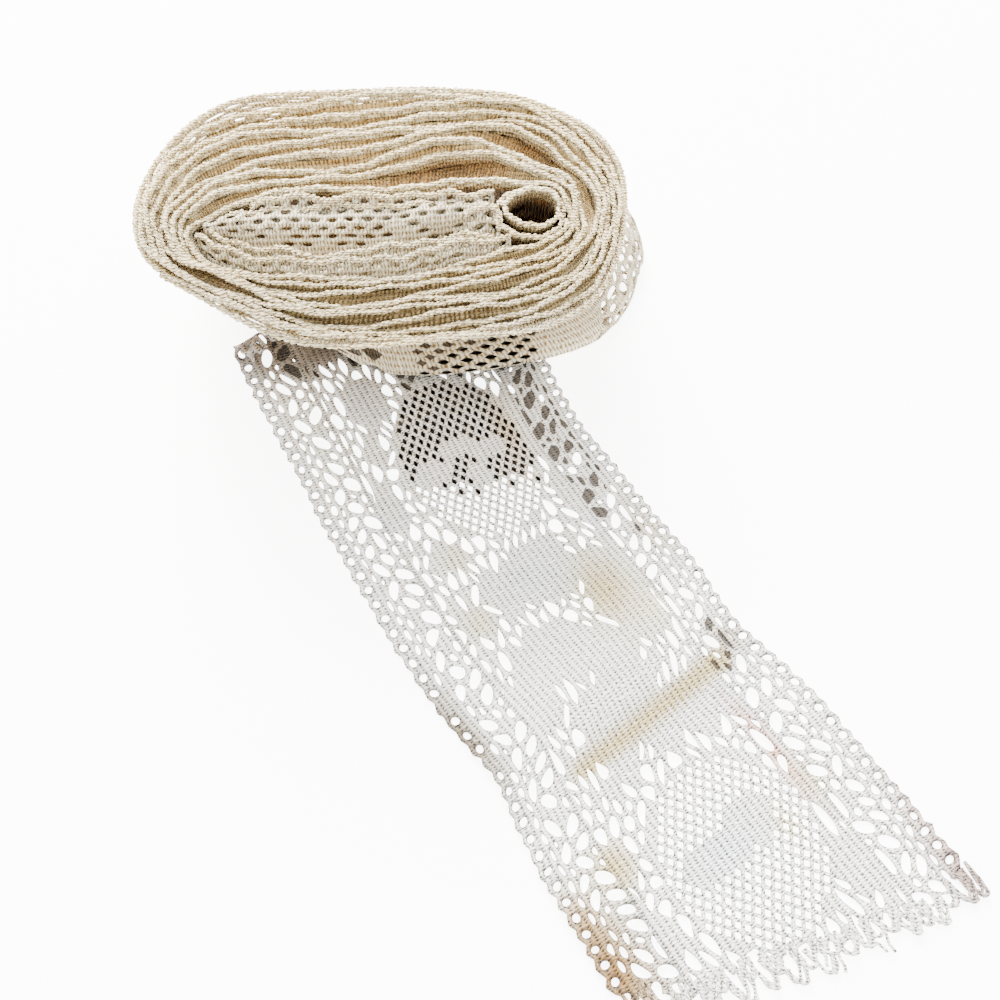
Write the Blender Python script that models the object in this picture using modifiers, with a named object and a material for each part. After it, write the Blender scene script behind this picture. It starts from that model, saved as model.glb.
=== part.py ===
# A roll of lace trim: the wound lace stands on its winding end, slumped over
# towards the front, and the free end of the strip lies on the surface before it.
# Metres in the scene, millimetres in the tables; +Z is up and -Y is the front.
# The origin is the middle of the foot on which the roll stands.

import math

import bmesh
import bpy
import numpy as np

MM = 0.001

# The lace lies in a sheet this thick, and its layers stand a little apart.
SHEET_THICKNESS = 1.1
LAYER_GAP = 0.3

# The wound roll
TURNS = 9
STEPS_PER_TURN = 72
EDGE_HEIGHT = 78.0
EDGE_DROP_AT_FRONT = 4.0
EDGE_WAVE = 1.0
CORE_DROP = 3.0
GROOVE_DEPTH = 1.6
GROOVE_WIDTH = 1.2
GAP_DEPTH_RATIO = 2.6
GAP_DEPTH_POWER = 1.3
DEEPEST_GAP = 26.0
LEAN = 0.52
TOP_CENTRE = (0.0, -43.0)
TOP_HALF_SIZE = (58.5, 36.5)
FOOT_HALF_SIZE = (57.0, 25.0)
FOOT_INSET = 1.5
WALL_RIPPLE = 0.7
WALL_RIPPLES = 11
WALL_DROPS = (0.28, 0.55, 0.8)

# The last turn is slack at its foot and flares out over the tail.
SKIRT_SHOULDER = 14.0
SKIRT_BACK_UNDERSIDE = 0.8
SKIRT_LEVELS = (
    # share of the flare, height
    (0.35, 11.2),
    (0.85, 7.6),
    (1.0, 4.2),
)

# The core: a tongue of lace slopes down across it, with an open loop at the right.
SLOT_DEPTH = 13.0
SLOT_RIM = 1.0
TONGUE_LIFT = 7.0
LOOP_DEPTH = 30.0
LOOP_START = 25.0
LOOP_BLEND = 3.5
RUNG_SHARES = (0.08, 0.2, 0.5, 0.8, 0.93)

# One row for each radial line round the roll, clockwise from its right end.
# The core is the innermost turn's edge, the rim the outermost turn's, and the
# skirt is where the last turn, slack at the front and right, meets the surface.
ROLL_STATIONS = (
    # core_x, core_y, rim_x, rim_y, skirt_x, skirt_y
    (43.5, -44.0, 58.0, -40.0, 69.5, -4.0),
    (43.0, -47.0, 56.5, -52.0, 67.5, -13.0),
    (39.0, -49.5, 51.0, -65.0, 63.5, -24.0),
    (30.0, -52.0, 38.0, -74.0, 54.0, -34.5),
    (18.0, -55.5, 20.0, -77.5, 33.0, -41.5),
    (2.0, -59.0, -2.0, -79.5, 6.0, -45.0),
    (-14.0, -60.0, -22.0, -76.5, -13.0, -40.0),
    (-30.0, -59.0, -42.0, -65.5, -40.5, -17.5),
    (-41.0, -55.0, -56.0, -55.0, -56.0, -9.0),
    (-45.0, -48.0, -59.0, -40.0, -58.5, 2.0),
    (-39.0, -42.5, -53.0, -23.0, -52.6, 14.2),
    (-28.0, -39.5, -40.0, -12.5, -39.6, 21.8),
    (-14.0, -38.5, -22.0, -8.5, -21.7, 24.7),
    (0.0, -38.0, -2.0, -6.5, -2.0, 26.0),
    (14.0, -37.0, 16.0, -7.0, 16.2, 27.0),
    (26.0, -35.5, 34.0, -9.5, 36.0, 27.0),
    (35.0, -34.5, 48.0, -18.0, 54.0, 22.0),
    (41.5, -37.5, 56.0, -29.0, 66.0, 10.0),
)

# Places where the turns stand apart: the turn the gap opens after, the station
# at its middle, its half length in stations, and its width.
WINDING_GAPS = (
    # turn, station, spread, width
    (0.9, 14.3, 1.9, 8.5),
    (3.6, 15.4, 1.6, 6.0),
    (3.2, 17.9, 1.9, 3.0),
    (5.0, 7.4, 1.0, 2.6),
    (6.2, 4.6, 1.2, 2.4),
    (2.4, 5.6, 1.3, 2.2),
)

# The tail of the strip: middle line on the surface, heading measured from the
# front towards the right, height of the lace there and droop of its two edges.
TAIL_STATIONS = (
    # x, y, heading, height, left_droop, right_droop
    (-9.0, -20.0, 20.0, 0.0, 0.0, 0.0),
    (-0.3, -40.0, 22.0, 0.0, 0.0, 0.0),
    (8.2, -57.2, 24.0, 0.0, 0.0, 0.0),
    (16.0, -73.7, 25.0, 0.6, 0.0, 0.0),
    (25.6, -89.6, 27.0, 1.6, 1.0, 0.6),
    (35.8, -106.8, 30.0, 3.2, 3.0, 1.6),
    (46.6, -122.6, 33.0, 6.0, 6.0, 3.0),
    (56.5, -137.5, 35.0, 9.6, 7.6, 4.5),
    (62.5, -146.0, 35.5, 2.6, 1.6, 0.8),
    (71.0, -158.0, 35.5, 1.0, 0.0, 0.0),
    (80.0, -171.0, 35.0, 1.4, 0.0, 0.0),
    (90.0, -185.5, 35.0, 0.6, 0.0, 0.8),
    (102.0, -202.5, 35.5, 0.2, 0.0, 2.2),
)
TAIL_HALF_WIDTHS = (43.0, 43.0, 42.5, 42.5, 42.0, 40.5, 38.5, 36.5, 38.5, 41.0, 42.0, 43.0, 43.5)
TAIL_LENGTH = 214.0
TAIL_COLUMNS = 14
ROW_PITCH = 6.1
FINE_PITCH = 2.4
CURL_END = 34.0
RIDGE_SPAN = (122.0, 152.0)
LEFT_DROOP_FROM = 0.45
RIGHT_DROOP_FROM = 0.5
TAIL_RIPPLE = 0.35
TAIL_RIPPLE_LENGTH = 9.0
TAIL_RIPPLE_START = 70.0
TAIL_RIPPLE_BLEND = 30.0

# The uneven cut end and the hidden start, from the left edge to the right,
# as distances along the middle line.
START_LINE = (6.0, 4.0, 4.0, 9.5, 15.0, 21.0, 28.0)
END_LINE = (202.0, 211.0, 214.0, 220.0, 223.0, 228.0, 226.0)

# The upper left corner curls up and over along this crease.
CURL_POINT = (-42.5, -38.5)
CURL_ANGLE = 33.0
CURL_RADIUS = 3.6
CURL_REACH = 15.0

# Gaps over 4 mm in the lace: rows of them between the borders and the motifs.
GAP_INSET = 0.95
GAP_BANDS = (2, 3, 10, 11)
FIRST_GAP_ROW = 18
SHORTEST_GAP_ROW = 4.9
MOTIF_COLUMNS = (4, 5, 8, 9)
MOTIF_ROWS = 21
MOTIF_GAP_ROWS = (5, 6, 16)


def closed_curve(values, place):
    # Catmull-Rom curve through a closed ring of rows.
    rows = np.asarray(values, dtype=float)
    count = len(rows)
    first = math.floor(place)
    part = place - first
    before, here, after, beyond = (rows[(first + k) % count] for k in (-1, 0, 1, 2))
    return 0.5 * (
        2 * here
        + (after - before) * part
        + (2 * before - 5 * here + 4 * after - beyond) * part**2
        + (3 * here - before - 3 * after + beyond) * part**3
    )


def open_curve(values, place):
    # Catmull-Rom curve through an open list of rows.
    rows = np.asarray(values, dtype=float)
    last = len(rows) - 1
    place = min(max(place, 0.0), float(last))
    first = min(int(place), last - 1)
    part = place - first
    here, after = rows[first], rows[first + 1]
    before = rows[first - 1] if first > 0 else 2 * here - after
    beyond = rows[first + 2] if first + 2 <= last else 2 * after - here
    return 0.5 * (
        2 * here
        + (after - before) * part
        + (2 * before - 5 * here + 4 * after - beyond) * part**2
        + (3 * here - before - 3 * after + beyond) * part**3
    )


def smooth_step(value):
    value = min(max(value, 0.0), 1.0)
    return value * value * (3 - 2 * value)


def gap_width(row, station):
    turn, middle, spread, width = row
    count = len(ROLL_STATIONS)
    apart = abs((station - middle + count / 2) % count - count / 2)
    if apart >= spread:
        return 0.0
    return width * 0.5 * (1 + math.cos(math.pi * apart / spread))


def turn_point(turn, station):
    # Plan of the edge of the strip after so many turns, on one radial line.
    core_x, core_y, rim_x, rim_y, _, _ = closed_curve(ROLL_STATIONS, station)
    core = np.array((core_x, core_y))
    rim = np.array((rim_x, rim_y))
    span = np.linalg.norm(rim - core)
    gaps = [gap_width(row, station) for row in WINDING_GAPS]
    pitch = (span - SHEET_THICKNESS / 2 - sum(gaps)) / TURNS
    reach = pitch * turn
    for row, width in zip(WINDING_GAPS, gaps):
        reach += width * smooth_step((turn - row[0]) * 2.0 + 0.5)
    return core + (rim - core) / span * reach, (rim - core) / span


def edge_height(turn, station):
    # Height of the strip's edge, which waves and sinks towards the core.
    angle = 2 * math.pi * station / len(ROLL_STATIONS)
    place, _ = turn_point(turn, station)
    towards_front = (TOP_CENTRE[1] - place[1]) / TOP_HALF_SIZE[1]
    wave = math.sin(3 * angle + 1.7 * turn) + 0.6 * math.sin(7 * angle - 2.3 * turn)
    return (
        EDGE_HEIGHT
        - EDGE_DROP_AT_FRONT * 0.5 * (1 + towards_front)
        - CORE_DROP * (1 - turn / TURNS)
        + EDGE_WAVE * wave
    )


def foot_point(station):
    # The rim's shape, scaled and set back, is the foot the roll stands on.
    _, _, rim_x, rim_y, skirt_x, skirt_y = closed_curve(ROLL_STATIONS, station)
    foot = np.array((
        (rim_x - TOP_CENTRE[0]) * FOOT_HALF_SIZE[0] / TOP_HALF_SIZE[0],
        (rim_y - TOP_CENTRE[1]) * FOOT_HALF_SIZE[1] / TOP_HALF_SIZE[1],
    ))
    return foot, np.array((skirt_x, skirt_y)) - foot


def wall_column(rim, height, station, inset):
    # Points down the outside of the roll, from below its rim to its foot.
    foot, flare = foot_point(station)
    outward = foot / np.linalg.norm(foot)
    foot = foot - outward * inset
    ripple = WALL_RIPPLE * math.sin(WALL_RIPPLES * 2 * math.pi * station / len(ROLL_STATIONS))
    under = SHEET_THICKNESS + LAYER_GAP if foot[1] < 0 else SKIRT_BACK_UNDERSIDE
    points = []
    for drop in WALL_DROPS:
        plan = rim + (foot - rim) * drop + outward * (ripple * math.sin(math.pi * drop))
        points.append((*plan, height + (SKIRT_SHOULDER - height) * drop))
    for share, level in (*SKIRT_LEVELS, (0.9, under), (0.12, under)):
        plan = foot + flare * share
        points.append((*plan, level))
    points.append((*foot, 0.0))
    return points


def slot_height(x, across, rim_height):
    # Height over the core at a share of the way from its front to its back.
    deep = SLOT_DEPTH * (1 - smooth_step((across - 0.15) / 0.65))
    behind = TONGUE_LIFT * smooth_step((across - 0.86) / 0.08)
    in_loop = smooth_step((x - LOOP_START) / LOOP_BLEND)
    walls = smooth_step(across / 0.1) * smooth_step((1 - across) / 0.1)
    drop = (deep + behind) * (1 - in_loop) + LOOP_DEPTH * in_loop * walls
    return rim_height - SLOT_RIM - drop


def add_core(mesh, ring):
    # Rungs from the front of the innermost turn to its back, over the slot.
    shares = RUNG_SHARES
    half = len(ring) // 2
    rungs = []
    for step in range(1, half):
        front = ring[step]
        back = ring[len(ring) - step]
        rung = [front]
        for share in shares:
            place = front.co.lerp(back.co, share)
            rim_height = place.z / MM
            height = slot_height(place.x / MM, share, rim_height)
            set_back = LEAN * (rim_height - height) * MM
            rung.append(mesh.verts.new((place.x, place.y + set_back, height * MM)))
        rung.append(back)
        rungs.append(rung)
    for first, second in zip(rungs, rungs[1:]):
        for k in range(len(first) - 1):
            mesh.faces.new((first[k], first[k + 1], second[k + 1], second[k]))
    for k in range(len(shares) + 1):
        mesh.faces.new((ring[0], rungs[0][k + 1], rungs[0][k]))
        mesh.faces.new((ring[half], rungs[-1][k], rungs[-1][k + 1]))


def build_roll():
    # The wound strip as one solid: ridges for its turns' edges, grooves and
    # gaps between them, the leaning outside with its flared last turn, the foot.
    mesh = bmesh.new()
    stations = len(ROLL_STATIONS)
    total = TURNS * STEPS_PER_TURN
    inner, outer, groove = [], [], []
    for step in range(total + 1):
        turn = step / STEPS_PER_TURN
        station = stations * turn % stations
        place, away = turn_point(turn, station)
        height = edge_height(turn, station)
        for ring, offset in ((inner, -0.5), (outer, 0.5)):
            plan = place + away * SHEET_THICKNESS * offset
            ring.append(mesh.verts.new((plan[0] * MM, plan[1] * MM, height * MM)))
        if step <= total - STEPS_PER_TURN:
            next_place, _ = turn_point(turn + 1, station)
            apart = np.linalg.norm(next_place - place) - SHEET_THICKNESS
            wide = max(apart - GROOVE_WIDTH, 0.0)
            depth = min(GROOVE_DEPTH + GAP_DEPTH_RATIO * wide**GAP_DEPTH_POWER, DEEPEST_GAP)
            plan = (place + next_place) / 2 + np.array((0.0, LEAN * depth))
            groove.append(mesh.verts.new((plan[0] * MM, plan[1] * MM, (height - depth) * MM)))
    for step in range(total):
        mesh.faces.new((inner[step], inner[step + 1], outer[step + 1], outer[step]))
    for step in range(total - STEPS_PER_TURN):
        after = step + STEPS_PER_TURN
        mesh.faces.new((outer[step], outer[step + 1], groove[step + 1], groove[step]))
        mesh.faces.new((groove[step], groove[step + 1], inner[after + 1], inner[after]))

    columns = []
    for step in range(total - STEPS_PER_TURN, total + 1):
        turn = step / STEPS_PER_TURN
        station = stations * turn % stations
        rim = np.array(outer[step].co[:2]) / MM
        inset = FOOT_INSET * (TURNS - turn)
        column = [outer[step]]
        for point in wall_column(rim, outer[step].co.z / MM, station, inset):
            column.append(mesh.verts.new(np.array(point) * MM))
        columns.append(column)
    for first, second in zip(columns, columns[1:]):
        for k in range(len(first) - 1):
            mesh.faces.new((first[k], second[k], second[k + 1], first[k + 1]))
    start, end = columns[0], columns[-1]
    mesh.faces.new((start[0], groove[-1], inner[-1], end[0], end[1], start[1]))
    for k in range(1, len(start) - 1):
        mesh.faces.new((start[k], end[k], end[k + 1], start[k + 1]))
    mesh.faces.new([column[-1] for column in columns])

    add_core(mesh, inner[:STEPS_PER_TURN])
    last = STEPS_PER_TURN
    mesh.faces.new((inner[last - 1], inner[last], groove[0], outer[0], inner[0]))
    bmesh.ops.recalc_face_normals(mesh, faces=mesh.faces)
    return finish_object(mesh, "wound_roll", (0.86, 0.80, 0.66))


def tail_frame(along):
    # Place, heading and shape values at a distance along the middle line.
    points = np.array([row[:2] for row in TAIL_STATIONS])
    steps = np.linalg.norm(np.diff(points, axis=0), axis=1)
    marks = np.concatenate(((0.0,), np.cumsum(steps)))
    place = float(np.interp(along, marks, np.arange(len(marks))))
    x, y, heading, height, left_droop, right_droop = open_curve(TAIL_STATIONS, place)
    overrun = along - min(max(along, 0.0), marks[-1])
    turn = math.radians(heading)
    travel = np.array((math.sin(turn), -math.cos(turn)))
    across = np.array((math.cos(turn), math.sin(turn)))
    middle = np.array((x, y)) + travel * overrun
    half = float(open_curve(np.array(TAIL_HALF_WIDTHS)[:, None], place)[0])
    return middle, across, half, height, left_droop, right_droop


def tail_point(along, side):
    # side runs from -1 at the left edge to 1 at the right edge.
    middle, across, half, height, left_droop, right_droop = tail_frame(along)
    plan = middle + across * half * side
    droop = left_droop * smooth_step((-side - LEFT_DROOP_FROM) / 0.5)
    droop += right_droop * smooth_step((side - RIGHT_DROOP_FROM) / 0.5)
    ripple = TAIL_RIPPLE * (1 + math.sin(along / TAIL_RIPPLE_LENGTH + 3.0 * side))
    ripple *= smooth_step((along - TAIL_RIPPLE_START) / TAIL_RIPPLE_BLEND)
    level = max(height + ripple - droop, 0.0)
    crease = math.radians(CURL_ANGLE)
    line = np.array((math.cos(crease), math.sin(crease)))
    normal = np.array((-line[1], line[0]))
    beyond = float(np.dot(plan - np.array(CURL_POINT), normal))
    if beyond > 0 and side < 0:
        radius = CURL_RADIUS
        bend = min(beyond / radius, math.pi)
        rest = max(beyond - radius * math.pi, 0.0)
        plan = plan - normal * beyond + normal * (radius * math.sin(bend) - rest)
        level += radius * (1 - math.cos(bend))
    return np.array((*plan, level + SHEET_THICKNESS / 2))


def tail_ends(side):
    # Where the sheet starts and ends at a share of its width.
    place = (side + 1) / 2 * (len(START_LINE) - 1)
    start = float(open_curve(np.array(START_LINE)[:, None], place)[0])
    end = float(open_curve(np.array(END_LINE)[:, None], place)[0])
    start -= CURL_REACH * smooth_step((-side - 0.5) / 0.4)
    return start, end


def row_shares():
    # Shares of the length, fine over the curl and the ridge, coarse elsewhere.
    marks = []
    along = 0.0
    while along < TAIL_LENGTH:
        marks.append(along)
        fine = along < CURL_END or RIDGE_SPAN[0] < along < RIDGE_SPAN[1]
        along += FINE_PITCH if fine else ROW_PITCH
    marks.append(TAIL_LENGTH)
    return np.array(marks) / TAIL_LENGTH


def is_gap(row, column, shares):
    # Gaps stand in bands beside the borders and between one motif and the next.
    if row < FIRST_GAP_ROW or row > len(shares) - 3:
        return False
    if (shares[row + 1] - shares[row]) * TAIL_LENGTH < SHORTEST_GAP_ROW:
        return False
    if column in GAP_BANDS:
        return (row + column) % 2 == 0 or row % 5 == 0
    if column in MOTIF_COLUMNS:
        return row % MOTIF_ROWS in MOTIF_GAP_ROWS and (row + column) % 2 == 0
    return False


def build_tail():
    # The free end of the strip: one sheet with its curl, ridge and gaps.
    mesh = bmesh.new()
    shares = row_shares()
    grid = []
    for share in shares:
        line = []
        for column in range(TAIL_COLUMNS + 1):
            side = column * 2 / TAIL_COLUMNS - 1
            start, end = tail_ends(side)
            point = tail_point(start + (end - start) * share, side)
            line.append(mesh.verts.new(point * MM))
        grid.append(line)
    gaps = []
    for row in range(len(shares) - 1):
        for column in range(TAIL_COLUMNS):
            face = mesh.faces.new((
                grid[row][column],
                grid[row + 1][column],
                grid[row + 1][column + 1],
                grid[row][column + 1],
            ))
            if is_gap(row, column, shares):
                gaps.append(face)
    bmesh.ops.recalc_face_normals(mesh, faces=mesh.faces)
    bmesh.ops.inset_individual(mesh, faces=gaps, thickness=GAP_INSET * MM, use_even_offset=True)
    bmesh.ops.delete(mesh, geom=gaps, context="FACES")
    tail = finish_object(mesh, "loose_tail", (0.93, 0.91, 0.86))
    solidify = tail.modifiers.new("thickness", "SOLIDIFY")
    solidify.thickness = SHEET_THICKNESS * MM
    solidify.offset = 0.0
    solidify.use_even_offset = False
    return tail


def cloth_material(name, colour):
    material = bpy.data.materials.new(name)
    material.use_nodes = True
    shader = material.node_tree.nodes["Principled BSDF"]
    shader.inputs["Base Color"].default_value = (*colour, 1.0)
    shader.inputs["Roughness"].default_value = 0.9
    shader.inputs["Metallic"].default_value = 0.0
    return material


def finish_object(mesh, name, colour):
    data = bpy.data.meshes.new(name)
    mesh.to_mesh(data)
    mesh.free()
    made = bpy.data.objects.new(name, data)
    data.materials.append(cloth_material(name + "_cotton", colour))
    bpy.data.collections["lace_trim_roll"].objects.link(made)
    return made


def main():
    for old in list(bpy.data.objects):
        bpy.data.objects.remove(old)
    parts = bpy.data.collections.new("lace_trim_roll")
    bpy.context.scene.collection.children.link(parts)
    build_roll()
    build_tail()


main()
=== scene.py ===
import math
import random
import bmesh
import bpy
import numpy as np
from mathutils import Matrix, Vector


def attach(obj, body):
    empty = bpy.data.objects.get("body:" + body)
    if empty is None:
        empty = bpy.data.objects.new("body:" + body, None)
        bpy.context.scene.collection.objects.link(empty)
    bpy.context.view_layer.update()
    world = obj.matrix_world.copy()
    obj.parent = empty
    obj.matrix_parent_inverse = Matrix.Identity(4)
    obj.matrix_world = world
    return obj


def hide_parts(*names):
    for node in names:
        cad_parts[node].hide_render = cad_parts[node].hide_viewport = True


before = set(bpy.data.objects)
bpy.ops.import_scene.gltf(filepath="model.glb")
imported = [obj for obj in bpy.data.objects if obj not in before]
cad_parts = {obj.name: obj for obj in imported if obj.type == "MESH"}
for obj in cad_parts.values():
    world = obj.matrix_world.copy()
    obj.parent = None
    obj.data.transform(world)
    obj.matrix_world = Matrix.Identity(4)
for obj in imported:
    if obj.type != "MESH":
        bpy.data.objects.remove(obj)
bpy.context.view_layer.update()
mm = 0.001

# The roll's tables are the ones its CAD is made from, in millimetres.
roll = {
    "turns": 9.0,
    "lastTurn": 9.42,  # the strip leaves the roll at the front left
    "outerFrom": 8.42,
    "edgeHeight": 78.0,
    "frontDrop": 4.0,
    "edgeWave": 1.0,
    "coreDrop": 3.0,
    "topCentre": (0.0, -43.0),
    "topHalf": (58.5, 36.5),
    "footHalf": (57.0, 25.0),
    "skirtShoulder": 14.0,
    "plySpace": 1.1,
    "stripWidth": 85.0,
}

rollStations = (  # core x, core y, rim x, rim y, skirt x, skirt y
    (43.5, -44.0, 58.0, -40.0, 69.5, -4.0),
    (43.0, -47.0, 56.5, -52.0, 67.5, -13.0),
    (39.0, -49.5, 51.0, -65.0, 63.5, -24.0),
    (30.0, -52.0, 38.0, -74.0, 54.0, -34.5),
    (18.0, -55.5, 20.0, -77.5, 33.0, -41.5),
    (2.0, -59.0, -2.0, -79.5, 6.0, -45.0),
    (-14.0, -60.0, -22.0, -76.5, -13.0, -40.0),
    (-30.0, -59.0, -42.0, -65.5, -40.5, -17.5),
    (-41.0, -55.0, -56.0, -55.0, -56.0, -9.0),
    (-45.0, -48.0, -59.0, -40.0, -58.5, 2.0),
    (-39.0, -42.5, -53.0, -23.0, -52.6, 14.2),
    (-28.0, -39.5, -40.0, -12.5, -39.6, 21.8),
    (-14.0, -38.5, -22.0, -8.5, -21.7, 24.7),
    (0.0, -38.0, -2.0, -6.5, -2.0, 26.0),
    (14.0, -37.0, 16.0, -7.0, 16.2, 27.0),
    (26.0, -35.5, 34.0, -9.5, 36.0, 27.0),
    (35.0, -34.5, 48.0, -18.0, 54.0, 22.0),
    (41.5, -37.5, 56.0, -29.0, 66.0, 10.0),
)

windingGaps = (  # turn, station, spread, width
    (0.9, 14.3, 1.9, 8.5),
    (3.6, 15.4, 1.6, 6.0),
    (3.2, 17.9, 1.9, 3.0),
    (5.0, 7.4, 1.0, 2.6),
    (6.2, 4.6, 1.2, 2.4),
    (2.4, 5.6, 1.3, 2.2),
)

tailStations = (  # x, y, heading, height, left droop, right droop, half width
    (-9.0, -20.0, 20.0, 0.0, 0.0, 0.0, 41.5),
    (-0.3, -40.0, 22.0, 0.0, 0.0, 0.0, 40.0),
    (8.2, -57.2, 24.0, 0.0, 0.0, 0.0, 39.0),
    (16.0, -73.7, 25.0, 0.6, 0.0, 0.0, 38.6),
    (25.6, -89.6, 27.0, 1.6, 1.0, 0.6, 38.8),
    (35.8, -106.8, 30.0, 3.2, 3.0, 1.6, 38.8),
    (46.6, -122.6, 33.0, 6.0, 6.0, 3.0, 38.5),
    (56.5, -137.5, 35.0, 9.6, 7.6, 4.5, 36.5),
    (62.5, -146.0, 35.5, 2.6, 1.6, 0.8, 38.5),
    (71.0, -158.0, 35.5, 1.0, 0.0, 0.0, 41.0),
    (80.0, -171.0, 35.0, 1.4, 0.0, 0.0, 42.0),
    (90.0, -185.5, 35.0, 0.6, 0.0, 0.8, 43.0),
    (102.0, -202.5, 35.5, 0.2, 0.0, 2.2, 43.5),
)

tail = {
    "halfWidth": 42.5,
    "rightTrim": 1.8,  # taken off the right edge, about trimAt along the tail
    "trimAt": 50.0,
    "trimSpread": 42.0,
    "frayed": 7.0,  # length of the loops at the cut end
    "startLine": (6.0, 4.0, 4.0, 9.5, 15.0, 21.0, 28.0),  # left edge to right edge
    "endLine": (202.0, 211.0, 214.0, 220.0, 223.0, 228.0, 226.0),
    "curlPoint": (-42.5, -38.5),
    "curlAngle": 33.0,
    "curlRadius": 3.6,
    "curlReach": 15.0,
    "ply": 0.55,  # height of the lace's middle over what it lies on
}


def curveThrough(rows, place, closed=False):
    # a smooth curve through rows, for a whole array of places at once
    rows = np.asarray(rows, dtype=float)
    rows = rows if rows.ndim == 2 else rows[:, None]
    count = len(rows)
    place = np.asarray(place, dtype=float)
    if closed:
        first = np.floor(place).astype(int)
        before, here, after, beyond = (rows[(first + k) % count] for k in (-1, 0, 1, 2))
    else:
        place = np.clip(place, 0, count - 1)
        first = np.minimum(place.astype(int), count - 2)
        here, after = rows[first], rows[first + 1]
        before = np.where((first > 0)[..., None], rows[first - 1], 2 * here - after)
        far = np.minimum(first + 2, count - 1)
        beyond = np.where((first + 2 < count)[..., None], rows[far], 2 * after - here)
    t = (place - first)[..., None]
    return 0.5 * (
        2 * here
        + (after - before) * t
        + (2 * before - 5 * here + 4 * after - beyond) * t**2
        + (3 * here - before - 3 * after + beyond) * t**3
    )


def smoothStep(value):
    value = np.clip(value, 0.0, 1.0)
    return value * value * (3 - 2 * value)


def unit(rows):
    # the direction of each row
    return rows / np.maximum(np.linalg.norm(rows, axis=-1), 1e-9)[..., None]


def runAlong(line):
    # running length at each point of a line
    return np.concatenate(((0.0,), np.cumsum(np.linalg.norm(np.diff(line, axis=0), axis=1))))


def turnPoint(turn, station):
    # plan of the strip's edge after so many turns, on one radial line
    turn, station = np.broadcast_arrays(np.asarray(turn, float), np.asarray(station, float))
    row = curveThrough(rollStations, station, closed=True)
    core, rim = row[..., 0:2], row[..., 2:4]
    span = np.linalg.norm(rim - core, axis=-1)
    widths = []
    for _, middle, spread, width in windingGaps:
        apart = np.abs((station - middle + 9) % 18 - 9)
        widths.append(np.where(apart < spread, width * 0.5 * (1 + np.cos(np.pi * apart / spread)), 0.0))
    reach = (span - roll["plySpace"] / 2 - sum(widths)) / roll["turns"] * turn
    for (start, _, _, _), width in zip(windingGaps, widths):
        reach = reach + width * smoothStep((turn - start) * 2.0 + 0.5)
    return core + unit(rim - core) * reach[..., None]


def edgeHeight(turn, station):
    angle = 2 * np.pi * station / 18
    plan = turnPoint(turn, station)
    towardsFront = (roll["topCentre"][1] - plan[..., 1]) / roll["topHalf"][1]
    wave = np.sin(3 * angle + 1.7 * turn) + 0.6 * np.sin(7 * angle - 2.3 * turn)
    return (
        roll["edgeHeight"]
        - roll["frontDrop"] * 0.5 * (1 + towardsFront)
        - roll["coreDrop"] * (1 - np.minimum(turn, roll["turns"]) / roll["turns"])
        + roll["edgeWave"] * wave
    )


def footPlan(plan):
    # where a point of the winding's top comes to stand
    x = (plan[..., 0] - roll["topCentre"][0]) * roll["footHalf"][0] / roll["topHalf"][0]
    y = (plan[..., 1] - roll["topCentre"][1]) * roll["footHalf"][1] / roll["topHalf"][1]
    return np.stack((x, y), axis=-1)


def windingPoint(turn, down):
    # a point of the wound strip: turns from the core, distance below its edge
    station = 18 * turn % 18
    plan = turnPoint(turn, station)
    height = edgeHeight(turn, station)
    share = down / roll["stripWidth"]
    full = plan + (footPlan(plan) - plan) * share[..., None]
    return np.concatenate((full, (height * (1 - share) + 0.4)[..., None]), axis=-1)


skirtLines = (  # the flared hem: share of the flare, height
    (0.12, 13.0),
    (0.35, 11.2),
    (0.62, 9.4),
    (0.85, 7.4),
    (0.97, 5.2),
    (0.99, 3.4),
    (0.90, 2.2),
    (0.62, 2.2),
)


def outerColumns(turns):
    # lines down the outside of the roll, each with its running length
    station = 18 * turns % 18
    rim = turnPoint(turns, station)
    height = edgeHeight(turns, station)
    row = curveThrough(rollStations, station, closed=True)
    base = footPlan(row[:, 2:4])
    flare = row[:, 4:6] - base
    outward = unit(base)
    inset = 1.5 * np.maximum(roll["turns"] - turns, 0.0)
    base = base - outward * inset[:, None]
    ripple = 0.7 * np.sin(11 * 2 * np.pi * station / 18)
    lines = []
    for drop in (0.0, 0.14, 0.28, 0.42, 0.55, 0.68, 0.8, 0.9):  # shares of the way down to the skirt
        plan = rim + (base - rim) * drop + outward * (ripple * math.sin(math.pi * drop))[:, None]
        level = height + (roll["skirtShoulder"] - height) * drop
        lines.append(np.concatenate((plan, level[:, None]), axis=1))
    for share, level in skirtLines:
        plan = base + flare * share
        lines.append(np.concatenate((plan, np.full((len(plan), 1), level)), axis=1))
    return np.stack(lines, axis=1)


outerAround, outerDown = 360, 160  # steps of the last turn's surface
outerTurns = np.linspace(roll["outerFrom"], roll["lastTurn"], outerAround + 1)
outerLines = outerColumns(outerTurns)
outerRuns = np.array([runAlong(line) for line in outerLines])
outerFine = np.empty((outerAround + 1, outerDown + 1, 3))
for index, run in enumerate(outerRuns):  # each line again, at even shares of its length
    place = np.interp(np.linspace(0.0, run[-1], outerDown + 1), run, np.arange(len(run)))
    outerFine[index] = curveThrough(outerLines[index], place)


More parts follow.
